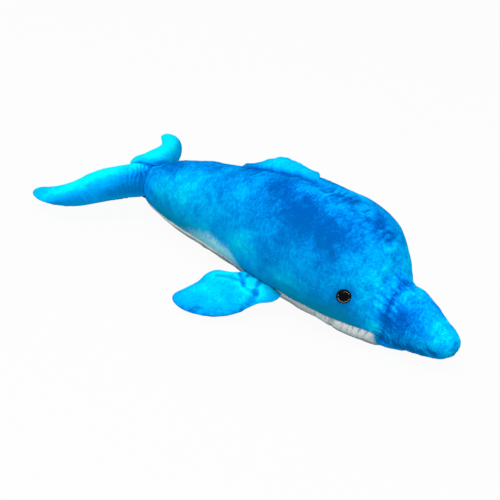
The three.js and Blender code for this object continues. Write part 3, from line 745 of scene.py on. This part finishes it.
def upper_cloth(p):
    """Relief and values of the sides and the upper beak."""
    along, across, to_seam, to_crease, share, behind = measure(p)
    to_ridge = np.abs(across - across[:, MIDDLE : MIDDLE + 1])
    head = smooth(0.54, 0.6, share) * behind * smooth(0.81, 0.77, share)
    mouth = bell(to_seam, MOUTH_TUCKS[1]) * ~behind
    ridge_folds = gathers(along, to_ridge, spacing=0.0066, run=0.03, seed=12)
    crease_folds = gathers(across, to_crease, spacing=0.006, run=0.02, seed=13)
    mouth_folds = tucks(along, to_seam, spacing=0.0062, seed=14)

    relief = sewn(to_seam, to_crease, share) - dent(to_ridge, RIDGE_SEAM)
    height, fade = SEAM_GATHERS
    seam_folds = gathers(along, to_seam, spacing=0.0055, run=0.03, seed=11) * behind
    relief += height * smooth(*ROLLED, share) * np.exp(-to_seam / fade) * seam_folds
    relief += head * dent(to_ridge, RIDGE_GATHERS) * ridge_folds
    relief += dent(to_crease, CREASE_GATHERS) * crease_folds
    relief += MOUTH_TUCKS[0] * mouth * mouth_folds
    root_shade = 0
    for a, b in ROOTS:
        d, s = near_line(p, a, b)
        relief += dent(d, ROOT_GATHERS) * gathers(s, d, spacing=0.008, run=0.05, seed=15) - dent(d, ROOT_SEAM)
        root_shade = root_shade + dent(d, ROOT_SHADE)
    for at, _ in EYES.values():
        relief -= dent(np.linalg.norm(p - at, axis=-1), EYE_SEAT)

    # painted shade in the relief's valleys and round the limbs' roots, painted light on the crests
    tone = dye(p) + painted_relief_shading(relief) - root_shade
    # painted shade along the crease between head and beak, mottled, and in the valleys of the crease's
    # gathers
    tone -= (0.08 + 0.22 * noise3(p * 150, 8)) * bell(to_crease, 0.013)
    tone -= 0.14 * smooth(0.0, -0.6, crease_folds) * bell(to_crease, 0.018)
    # painted shade in the valleys of the mouth's tucks and along the mouth seam
    mouth_tuck_shade = smooth(0.0, -0.6, mouth_folds) * np.clip(0.6 + noise3(p * 90, 19), 0, 1.2)
    tone -= (0.14 + 0.75 * mouth_tuck_shade) * mouth * smooth(0.99, 0.96, share)
    # painted shade of the puckers on the beak's low side, a little above the mouth seam
    blots = smooth(0.0, 0.35, ripple(along, to_seam, spacing=0.009, run=0.03, seed=43))
    blots *= bell(to_seam - 0.011, 0.005)
    tone -= 0.9 * blots * smooth(0.84, 0.87, share) * smooth(0.985, 0.95, share)
    # painted shade in the valleys of the ridge's gathers on the head
    tone -= smooth(-0.25, -0.65, ridge_folds) * head * dent(to_ridge, RIDGE_FOLD_SHADE)
    tone -= bell(share - 0.71, 0.06) * dent(to_seam, THROAT_SHADE)
    patch = pale_patch(p) * behind
    tone += (1.02 - tone) * 0.95 * patch

    seam_line = 0.9 * smooth(0.0042, 0.0016, to_seam) * smooth(*ROLLED[::-1], share) * behind
    # teal on the low flank near the seam and over the lower half: partly the dye's teal, partly painted shade
    # of the low side
    girth = across[:, -1:] / 2
    teal_and_shade = 0.5 * bell(np.maximum(to_seam - 0.004, 0), 0.018) + 0.5 * bell(to_seam, 0.66 * girth)
    on_body = smooth(0.014, -0.014, along - along[CREASE])
    teal_and_shade *= smooth(0.03, 0.12, share) * (0.35 + 0.65 * on_body)
    teal_and_shade *= (1 - 0.8 * patch) * (1 - 0.7 * bell(share - 0.82, 0.05))
    white = np.maximum(0.4 * patch, seam_line)
    # a faint even grey on the pale parts of the sides
    values = dict(tone=tone, white=white, grey_shade=0 * tone + 0.1, teal_and_shade=teal_and_shade, crush=1 - 0.8 * patch)
    return relief + crushed(p, smooth(0.0, 0.006, to_seam)), values


THROAT_FOLD_X = 0.146


def lower_cloth(p):
    """Relief and values of the belly, the chin and the lower beak."""
    _, _, to_seam, to_crease, share, behind = measure(p)
    chin = smooth(0.6, 0.68, share) * smooth(0.83, 0.8, share)
    folded = 0.15 + 0.85 * np.maximum(chin, bell(share - 0.38, 0.05))
    fold_at = p[..., 0] + 0.3 * to_seam  # the folds lean back from the seam
    wrinkles = tucks(fold_at, to_seam, spacing=0.0058, seed=21) * np.exp(-to_seam / 0.017) * folded
    throat = bell(fold_at - THROAT_FOLD_X, 0.0028) * np.exp(-to_seam / 0.02)
    bulge = smooth(0.58, 0.64, share) * smooth(0.86, 0.8, share)
    relief = sewn(to_seam, to_crease, share) + 0.0004 * wrinkles - 0.002 * throat
    relief += 0.002 * bulge * smooth(0.0, 0.012, to_seam) * smooth(0.045, 0.025, to_seam)

    white = behind * smooth(0.0, 0.02, share) * smooth(0.82, 0.81, share)
    white *= 1 - 0.14 * chin * smooth(0.024, 0.004, to_seam)
    # painted shade on the pale belly and chin: greyer away from the seam on the low side, at the throat, at
    # the rear, low on the chin, in the wrinkles' valleys and in the throat fold
    grey_shade = 0.02 + (0.6 - 0.15 * chin) * smooth(0.001, 0.012 + 0.006 * chin, to_seam)
    grey_shade += 0.55 * bell(share - 0.63, 0.06)
    grey_shade += 0.9 * smooth(0.0008, 0.005, to_seam) * smooth(0.48, 0.4, share) * smooth(0.05, 0.2, share)
    grey_shade += 0.75 * chin * smooth(0.011, 0.019, to_seam)
    crumple = np.clip(0.65 + 1.1 * noise3(p * 130, 23), 0.1, 1.3)
    grey_shade = np.clip(grey_shade + crumple * smooth(-0.1, -0.5, wrinkles) + 0.9 * throat, 0, 1.2)
    # painted shade in the valleys of the wrinkles and the throat fold, painted light on the crests
    tone = dye(p) - 0.05 + painted_relief_shading(relief)
    # teal near the belly's seam: partly the dye's teal, partly painted shade of the low side
    teal_and_shade = 0.8 * smooth(0.05, 0.15, share) * bell(to_seam, 0.03) * behind
    return relief + crushed(p), dict(tone=tone, white=white, grey_shade=grey_shade, teal_and_shade=teal_and_shade, crush=0 * tone + 1)


FLOOR = 0.0004  # the cloth keeps this clear of the ground
relief, top_values = upper_cloth(top)
top = top + top_out * relief[..., None]
relief, low_values = lower_cloth(low)
low = low + low_out * relief[..., None]
for k in (0, -1):
    top[:, k] = low[:, k] = (top[:, k] + low[:, k]) / 2
for grid in (top, low):
    grid[..., 2] = np.maximum(grid[..., 2], FLOOR)

CLOTH_THICKNESS = 0.0012


def panel(name, face, rows, columns, nodes):
    """One panel, cut from a face of the skin and given the cloth's thickness."""
    grid, values, flip = face
    cut = grid[rows, columns]
    index = np.arange(cut[..., 0].size).reshape(cut.shape[:2])
    values = {key: value[rows, columns] for key, value in values.items()}
    obj = add_mesh(name, cut, grid_faces(index, flip).tolist(), values)
    solid = obj.modifiers.new("cloth", "SOLIDIFY")
    solid.thickness = CLOTH_THICKNESS
    solid.offset = -1
    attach(obj, "body")
    dress(obj, nodes)


over, under = (top, top_values, False), (low, low_values, True)
back, front, whole = slice(0, CREASE + 1), slice(CREASE, None), slice(None)
right_half, left_half = slice(0, MIDDLE + 1), slice(MIDDLE, None)
panel("right_side", over, back, right_half, ["right_side_panel", "body_filling"])
panel("left_side", over, back, left_half, ["left_side_panel"])
panel("belly", under, back, whole, ["belly_panel"])
panel("beak_upper", over, front, whole, ["beak_upper_panel"])
panel("beak_lower", under, slice(CREASE, MOUTH), whole, ["beak_lower_panel"])


# Limbs: two sheets sewn round their edge and filled

LIMB_FINER = 3
RELAX_PASSES = 300
EDGE_STEPS = 1200
RING_SPREAD, RING_INSET, RING_FADE = 0.43, 0.97, 1.6  # the open root of a fluke, round the tail's end
BAG_START, BAG_ROUNDNESS = 0.35, 0.6  # share of the rise, and the form, from which a limb is blown up
LOOSE_FROM = (0.03, 0.22)  # near the corners of the tip the cloth stays on its flat outline
SEW_DEPTH, SEW_REACH, SEW_NEAR, SEW_PASSES = 0.0015, 0.012, 0.08, 6
FIN_CURL, FIN_CORNER = 0.02, 0.5  # how far the fin's edge and its rear corner hang down
LIMB_FLOOR = 0.001
LIMB_TONE, LIMB_CRUSH = 0.80, 0.5
RIM_REACH = 0.007


def limb_frame(name, limb):
    """Axes of a limb (along the root, out, up through it) and its root's middle."""
    hinge, axis = JOINTS[name]
    x = unit(axis)
    tilt = math.radians(limb["tilt"])
    up = np.array([-x[2], 0, x[0]]) if name == "dorsal_fin" else np.array([0, 0, 1.0])
    out = np.array([0, limb["side"] * math.cos(tilt), 0]) + up * math.sin(tilt)
    z = unit(np.cross(x, out))
    return np.stack([x, np.cross(z, x), z], 1), hinge


def limb_edge(kind, limb):
    """The outline from the root's rear end round the tip to its front, its run, and the run at the root."""
    sleeve = "middle" in kind
    back = math.tan(math.radians(limb["sweep"]))
    rear, front = (e * limb["root"] for e in limb["ends"])
    points = [(rear, 0)]
    for along, out in kind["outline"]:
        if sleeve:
            centre = np.interp(out, *zip(*kind["middle"]))
            along = centre + (along - centre) * (1 + limb["wide"] * smooth(*limb["wide_from"], out))
        out = out * limb["reach"] / 100
        points.append((along * limb["root"] / 100 - out * back, out))
    points.append((front, 0))
    t = np.linspace(0, 1, EDGE_STEPS)
    edge = spline(points, t)
    run = steps_along(edge, 0)
    edge = edge * np.array([limb["side"], 1]) + np.array([0, limb["offset"]])
    join = np.interp(1 - 1 / (len(points) - 1), t, run) if sleeve else run[-1]
    return edge, run / run[-1], join / run[-1]


def even_line(points, count):
    run = steps_along(points, 0)
    s = np.linspace(0, run[-1], count)
    return np.stack([np.interp(s, run, column) for column in points.T], -1)


def fill_grid(rear, front, root, tip):
    """A grid between four border lines: rows from root to tip, columns from rear to front."""
    u = np.linspace(0, 1, len(rear))[:, None, None]
    v = np.linspace(0, 1, len(root))[None, :, None]
    corner = (1 - u) * (1 - v) * root[0] + (1 - u) * v * root[-1] + u * (1 - v) * tip[0] + u * v * tip[-1]
    grid = (1 - v) * rear[:, None] + v * front[:, None] + (1 - u) * root[None] + u * tip[None] - corner
    for _ in range(RELAX_PASSES):
        grid[1:-1, 1:-1] = (grid[:-2, 1:-1] + grid[2:, 1:-1] + grid[1:-1, :-2] + grid[1:-1, 2:]) / 4
    return grid


def limb_grid(kind, limb):
    """The flat cut of a limb as a grid."""
    edge, run, join = limb_edge(kind, limb)
    rows, columns = kind["rows"], kind["columns"]
    a, b = kind["corners"]

    def part(start, end):
        return edge[(run >= start) & (run <= end)]

    rear = even_line(part(0, a), rows)
    tip = even_line(part(a, b), columns)
    front = even_line(part(b, join)[::-1], rows)
    root = even_line(np.vstack([edge[:1], part(join, 1)[::-1]]), columns)
    rear[-1], front[-1] = tip[0], tip[-1]
    rear[0], front[0] = root[0], root[-1]
    return fill_grid(rear, front, root, tip)


def pillow_index(rows, columns, open_root):
    """Point numbers of an upper and a lower sheet that share their sewn border, and the faces."""
    upper = np.arange(rows * columns).reshape(rows, columns)
    lower = upper.copy()
    free = (slice(0 if open_root else 1, -1), slice(1, -1))
    lower[free] = rows * columns + np.arange(lower[free].size).reshape(lower[free].shape)
    faces = [grid_faces(upper), grid_faces(lower, True)]
    if open_root:
        faces.append(np.stack([upper[0, :-1], upper[0, 1:], lower[0, 1:], lower[0, :-1]], -1))
    return upper, lower, without_repeats(np.concatenate(faces))


def tail_ring(flat, limb):
    """Half height of a fluke's open root, which goes round the tail's end."""
    x, y = flat[0, :, 0] * limb["side"], flat[0, :, 1]
    radius = TAIL_RADIUS + RING_SPREAD * np.maximum(x, 0)
    on_tail = np.sqrt(np.maximum(radius**2 - y**2, 0))
    behind_tail = TAIL_RADIUS * np.sqrt(np.maximum(1 - (x / limb["root"]) ** 2, 0))
    ring = np.where(x > 0, on_tail, behind_tail)[None, :] * RING_INSET
    ring[0, -1] = 0
    return ring


def limb_sheets(kind, limb, sleeve):
    """Upper and lower sheet of a limb, pressed apart by its filling, on fine grids."""
    flat = limb_grid(kind, limb)
    rows, columns = flat.shape[:2]
    u = np.linspace(0, 1, rows)[:, None]
    v = np.linspace(0, 1, columns)[None, :]
    bump = (np.sin(math.pi * u) * np.sin(math.pi * v)) ** BAG_ROUNDNESS
    ring = tail_ring(flat, limb) if sleeve else np.zeros((1, columns))
    fade = (1 - u) ** RING_FADE * np.minimum(1, np.sin(math.pi * v) * 2 + (u == 0))
    above, below = kind["rise"]
    upper, lower, faces = pillow_index(rows, columns, sleeve)
    points = np.zeros((lower.max() + 1, 3))
    for index, rise in ((lower, -below), (upper, above)):
        points[index, :2] = flat
        points[index, 2] = rise * BAG_START * bump + np.sign(rise) * ring * fade
    points[np.concatenate([upper[-1], upper[:, 0], upper[:, -1]]), 2] = 0
    held = np.unique(np.concatenate([upper[0], lower[0]]))
    points = inflate(points, faces, held, kind["pressure"])
    # the seam goes back to its outline, and the faces go with it
    step = np.concatenate([flat, np.zeros((rows, columns, 1))], -1) - points[upper]
    step[0, :, 2] = 0
    spread = fill_grid(step[:, 0], step[:, -1], step[0], step[-1])
    inner = lower != upper
    points[upper] += spread
    points[lower[inner]] += spread[inner]
    if not sleeve:
        z = points[:, 2]
        points[:, 2] = np.where(z > 0, z * above / z.max(), z * below / -z.min())
    loose = smooth(*LOOSE_FROM, np.hypot(1 - u, np.minimum(v, 1 - v)))[..., None]
    for index in (lower, upper):
        points[index, :2] = flat + (points[index, :2] - flat) * loose
    fine = ((rows - 1) * LIMB_FINER + 1, (columns - 1) * LIMB_FINER + 1)
    return [refine(points[index], *fine) for index in (upper, lower)]


def limb_relief(sheet, to_front, kind, limb, sleeve):
    """Relief of pleats, puckers and folds, nearness of the rim, and run from the root."""
    across, from_root = steps_along(sheet, 1), steps_along(sheet, 0)
    to_edge = np.minimum(np.minimum(across, across[:, -1:] - across), from_root[-1:] - from_root)
    if sleeve:
        pleats = tucks(sheet[..., 1] - 0.9 * limb["side"] * sheet[..., 0], across, spacing=0.0066, seed=31)
        relief = 0.0015 * bell(from_root, 0.032) * smooth(0.25, 0.55, to_front) * pleats
    else:
        wave = ripple(across[:1] + 0 * across, from_root, spacing=0.0058, run=0.05, seed=31)
        relief = 0.0007 * np.exp(-from_root / 0.014) * wave
    puckers = tucks(from_root + across, to_edge, spacing=0.0065, seed=37)
    relief += kind["pucker"] * np.exp(-to_edge / 0.008) * smooth(0.3, 0.7, to_front) * puckers
    scale = np.array([limb["side"] * limb["root"], limb["reach"]]) / 100
    for line, reach, depth in kind.get("folds", ()):
        ends = np.array(line) * scale
        d = np.min([near_line(sheet[..., :2], a, b)[0] for a, b in zip(ends, ends[1:])], 0)
        relief -= depth * bell(d, reach) - 0.3 * depth * bell(d - 2.2 * reach, reach)
    for run in (to_edge,) if sleeve else (to_edge, from_root):
        relief *= np.minimum(1, run / 0.003)
    return relief, np.exp(-to_edge / RIM_REACH), from_root


def shape_fluke(q, out_share, limb):
    """Swells a fluke along its length, flattens its underside and lifts it."""
    swell = smooth(0.2, 0.6, out_share) + 0.4 * bell(out_share - 0.3, 0.13)
    swell += 0.4 * bell(out_share - 0.92, 0.1) - 0.55 * bell(out_share - 0.63, 0.13)
    q[:, 2] *= 1 + limb["fat"] * swell
    q[:, 2] *= 1 - 0.38 * (q[:, 2] < 0) * smooth(0.85, 0.45, out_share) * smooth(0.0, 0.15, out_share)
    q[:, 2] += limb["lift"] * smooth(0.0, 0.6, out_share)


def shape_fin(q, to_front, limb):
    """Thins the fin to its ends, curls its edge down and lets its rear corner hang."""
    q[:, 2] *= 0.15 + 0.85 * smooth(0.02, 0.66, to_front) * smooth(1.0, 0.78, to_front)
    q[:, 2] -= FIN_CURL * (np.maximum(q[:, 1], 0) / limb["reach"]) ** 2
    beyond = np.maximum(q[:, 1] - 0.5 * limb["reach"], 0)
    q[:, 2] -= FIN_CORNER * beyond * smooth(0.4, 0.0, to_front)


def lay_on_ridge(world, turn, hinge):
    """Bends the fin's straight root onto the curve of the back."""
    ridge = top[:CREASE, MIDDLE]
    line = hinge[2] + (world[:, 0] - hinge[0]) * turn[2, 0] / turn[0, 0]
    world[:, 2] += np.interp(world[:, 0], ridge[:, 0], ridge[:, 2]) - line


def sew(world, upper, lower, run_out, hinge):
    """Pulls a limb's root row onto the body's skin, and the cloth near it along."""
    skin = np.concatenate([top.reshape(-1, 3), low.reshape(-1, 3)])
    out = np.concatenate([top_out.reshape(-1, 3), low_out.reshape(-1, 3)])
    close = np.linalg.norm(skin - hinge, axis=1) < SEW_NEAR
    skin, out = skin[close], out[close]
    root = world[upper[0]]
    nearest = np.array([np.argmin(np.sum((skin - r) ** 2, 1)) for r in root])
    move = soften(skin[nearest] - out[nearest] * SEW_DEPTH - root, SEW_PASSES)
    pull = np.zeros_like(world)
    for index in (upper, lower):
        pull[index] = move[None] * bell(run_out[index], SEW_REACH)[..., None]
    world += pull


def limb_tone(label, limb, world, plan, relief, rim, run_out):
    """Tone of a limb's dye with painted shade: darker in its folds, at its root and along its front seam;
    flukes also get painted light.
    """
    from_root, to_front = plan.T
    # painted shade in the relief's valleys and painted light on its crests
    tone = LIMB_TONE + 0.08 * noise3(world * 24, 4) + painted_relief_shading(relief, gain=330, darkest=-0.5)
    if label == "fluke":
        # on a fluke: painted light all over; painted shade at the left fluke's root fold, near the root on
        # the front part, towards the lower front edge and its rim, and in the pleats' valleys; darker towards
        # the tip and along the root seam
        shade = np.exp(-from_root / 0.3) * smooth(0.25, 0.7, to_front)
        tone += limb["painted_light"] - limb["fold_shade"] * smooth(0.24, 0.05, from_root) - 0.78 * shade
        tone -= 0.52 * smooth(0.4, 1.0, to_front) + 0.22 * smooth(0.6, 1.0, from_root)
        tone -= 0.5 * rim * smooth(0.6, 0.9, to_front) + 0.4 * bell(run_out, 0.003)
        return tone - 0.3 * smooth(-0.0003, -0.0011, relief)
    # on a flipper or the fin: painted shade near the root and along the rim, most on the outer front part;
    # darker towards the tip
    tone += 0.04 - 0.14 * np.exp(-from_root / 0.1) - 0.12 * smooth(0.6, 1.0, from_root)
    outer = smooth(0.3, 0.7, to_front) * smooth(0.3, 0.6, from_root)
    tone -= rim * (0.14 + outer * (0.3 + 0.3 * noise3(world * 170, 41)))
    if label == "fin":
        # the fin is darker all over, towards its rear end and along its root
        tone -= 0.05 + 0.5 * smooth(0.4, 0.05, to_front) + 0.65 * bell(run_out, 0.007)
    return tone


def limb_piece(name, limb):
    """One limb: its two sheets with relief, set on the body and dressed."""
    label = name.split("_")[1]
    kind = KINDS[label]
    sleeve = label == "fluke"
    upper_sheet, lower_sheet = limb_sheets(kind, limb, sleeve)
    fine = upper_sheet.shape[:2]
    upper, lower, faces = pillow_index(*fine, sleeve)
    count = lower.max() + 1
    q, plan = np.zeros((count, 3)), np.zeros((count, 2))
    relief, rim, run_out = np.zeros((3, count))
    grid = np.stack(np.meshgrid(*(np.linspace(0, 1, n) for n in fine), indexing="ij"), -1)
    for index, sheet, up in ((lower, lower_sheet, -1), (upper, upper_sheet, 1)):
        out = normals(sheet) * -limb["side"] * up
        plan[index] = grid
        relief[index], rim[index], run_out[index] = limb_relief(sheet, grid[..., 1], kind, limb, sleeve)
        q[index] = sheet + out * relief[index][..., None]
    turn, hinge = limb_frame(name, limb)
    if sleeve:
        shape_fluke(q, plan[:, 0], limb)
    if label == "fin":
        shape_fin(q, plan[:, 1], limb)
    world = q @ turn.T + hinge
    if label == "fin":
        lay_on_ridge(world, turn, hinge)
    if not sleeve:
        sew(world, upper, lower, run_out, hinge)
    world[:, 2] = np.maximum(world[:, 2], LIMB_FLOOR)
    tone = limb_tone(label, limb, world, plan, relief, rim, run_out)
    zero = 0 * tone
    # teal towards the lower front edge and along the rim: partly the dye's teal, partly painted shade
    teal_and_shade = (0.45 if sleeve else 0.15) * smooth(0.4, 1.0, plan[:, 1]) + 0.25 * rim
    values = dict(tone=tone, white=zero, grey_shade=zero, teal_and_shade=teal_and_shade, crush=zero + LIMB_CRUSH)
    obj = add_mesh(name, world, faces, values)
    out = turn[:, 1]
    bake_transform(obj)
    sheets_named = ("right_panel", "left_panel") if label == "fin" else ("upper_panel", "lower_panel")
    dress(obj, [f"{name}_{n}" for n in (*sheets_named, "filling")])


for name, limb in LIMBS.items():
    limb_piece(name, limb)


# Eyes: a flange with a rounded rim round a glossy dome, on a stem

eye = material_nodes("eye_black")
scuff = eye.noise(700, roughness=0.6)
eye.set(Base_Color=(0.002, 0.002, 0.0025, 1), Roughness=eye.math("MULTIPLY_ADD", scuff, 0.12, 0.02))
eye.set(Specular_IOR_Level=0.035)
# painted highlight: a pale broken ring on the flange's bevel round the dome stands in for light caught there
eye_ring_highlight = material_nodes("eye_ring_highlight")
painted_ring_highlight = eye_ring_highlight.noise(150, detail=2, roughness=0.6)
painted_ring_highlight = eye_ring_highlight.ramp(painted_ring_highlight, [(0.42, (0.012, 0.011, 0.010)), (0.54, (0.72, 0.66, 0.58))])
eye_ring_highlight.set(Base_Color=painted_ring_highlight, Roughness=0.5, Specular_IOR_Level=0.1)
# radius and height of the profile in millimetres, from the stem to the top of the dome
EYE_PROFILE = [
    (0, -13), (2.25, -13), (2.25, -0.6), (7, -0.6), (7.5, -0.4), (7.65, 0), (7.5, 0.4), (7.1, 0.7),
    (6.6, 0.9), (6.2, 1), (6, 0.95), (5.75, 0.9), (5.6, 1), (5.3, 1.4), (4.8, 1.9), (4, 2.4),
    (3.1, 2.8), (2.1, 3.05), (1, 3.2), (0, 3.25),
]
EYE_RING_RADII = (5.7, 6.05)
EYE_SEGMENTS = 48
EYE_LIFT = 0.0004


def eye_piece(label):
    at, axis = EYES[label]
    side = unit(np.cross(axis, (0, 0, 1.0)))
    turn = np.linspace(0, 2 * math.pi, EYE_SEGMENTS, endpoint=False)[:, None]
    circle = side * np.cos(turn) + np.cross(axis, side) * np.sin(turn)
    rings, index, count = [], [], 0
    for radius, height in EYE_PROFILE:
        middle = at + axis * (height / 1000 + EYE_LIFT)
        rings.append(middle + circle * radius / 1000 if radius else middle[None])
        index.append(count + np.arange(EYE_SEGMENTS + 1) % len(rings[-1]))
        count += len(rings[-1])
    faces = without_repeats(grid_faces(np.array(index), True))
    obj = add_mesh(f"{label}_eye_dome", np.concatenate(rings), faces)
    for nodes in (eye, eye_ring_highlight):
        obj.data.materials.append(nodes.owner)
    for face in obj.data.polygons:
        away = np.array(face.center) - at
        radius = 1000 * np.linalg.norm(away - axis * (away @ axis))
        face.material_index = int(EYE_RING_RADII[0] < radius < EYE_RING_RADII[1] and away @ axis > 0)
    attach(obj, "body")
    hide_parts(f"{label}_eye")


washer = material_nodes("washer_plastic")
grain = washer.noise(400, detail=2, roughness=0.5)
grain = washer.ramp(grain, [(0.3, (0.72, 0.71, 0.67)), (0.7, (0.8, 0.79, 0.75))])
washer.set(Base_Color=grain, Roughness=0.5)
for label in ("right", "left"):
    eye_piece(label)
    node = frame["nodes"][f"{label}_eye_washer"]
    node.data.materials.clear()
    node.data.materials.append(washer.owner)


# Floor, background and light

FLOOR_HALF = 6
FLOOR_GLOW = 0.95  # share of white that the camera sees on the floor; the rest keeps the shadow
SKY_LIGHT, SKY_SEEN = 0.7, 0.3  # light of the background, and what makes it white for the camera
ground = material_nodes("floor")
ground.tree.nodes.remove(ground.shader)
diffuse = ground.add("BsdfDiffuse", {"Color": (0.55, 0.55, 0.55, 1)})
glow = ground.add("Emission", {"Color": (1, 1, 1, 1), "Strength": 1.0})
white_share = ground.math("MULTIPLY", ground.seen(), FLOOR_GLOW)
mixed = ground.add("MixShader", {0: white_share, 1: diffuse.outputs[0], 2: glow.outputs[0]})
ground.fill(ground.tree.nodes["Material Output"].inputs["Surface"], mixed.outputs[0])
corners = np.array([(-1, -1, 0), (1, -1, 0), (1, 1, 0), (-1, 1, 0)]) * FLOOR_HALF
floor = add_mesh("floor", corners, [(0, 1, 2, 3)])
floor.data.materials.append(ground.owner)

scene.world = bpy.data.worlds.new("studio")
sky = Nodes(scene.world, "Background")
sky.set(Color=(1, 1, 1, 1), Strength=sky.math("MULTIPLY_ADD", sky.seen(), SKY_SEEN, SKY_LIGHT))


def area_light(name, at, size, power, target=(0, 0, 0.05)):
    lamp = add_object(name, bpy.data.lights.new(name, "AREA"))
    lamp.data.shape = "DISK"
    lamp.data.size = size
    lamp.data.energy = power
    z = unit(np.array(at) - np.array(target))
    x = unit(np.cross((0, 0, 1), z))
    set_axes(lamp, x, np.cross(z, x), z, at)


area_light("key", at=(0.45, -0.8, 1.7), size=1.3, power=21)
area_light("spark", at=(-0.3, -0.9, 1.3), size=0.15, power=2.5)
scene.view_settings.view_transform = "Standard"
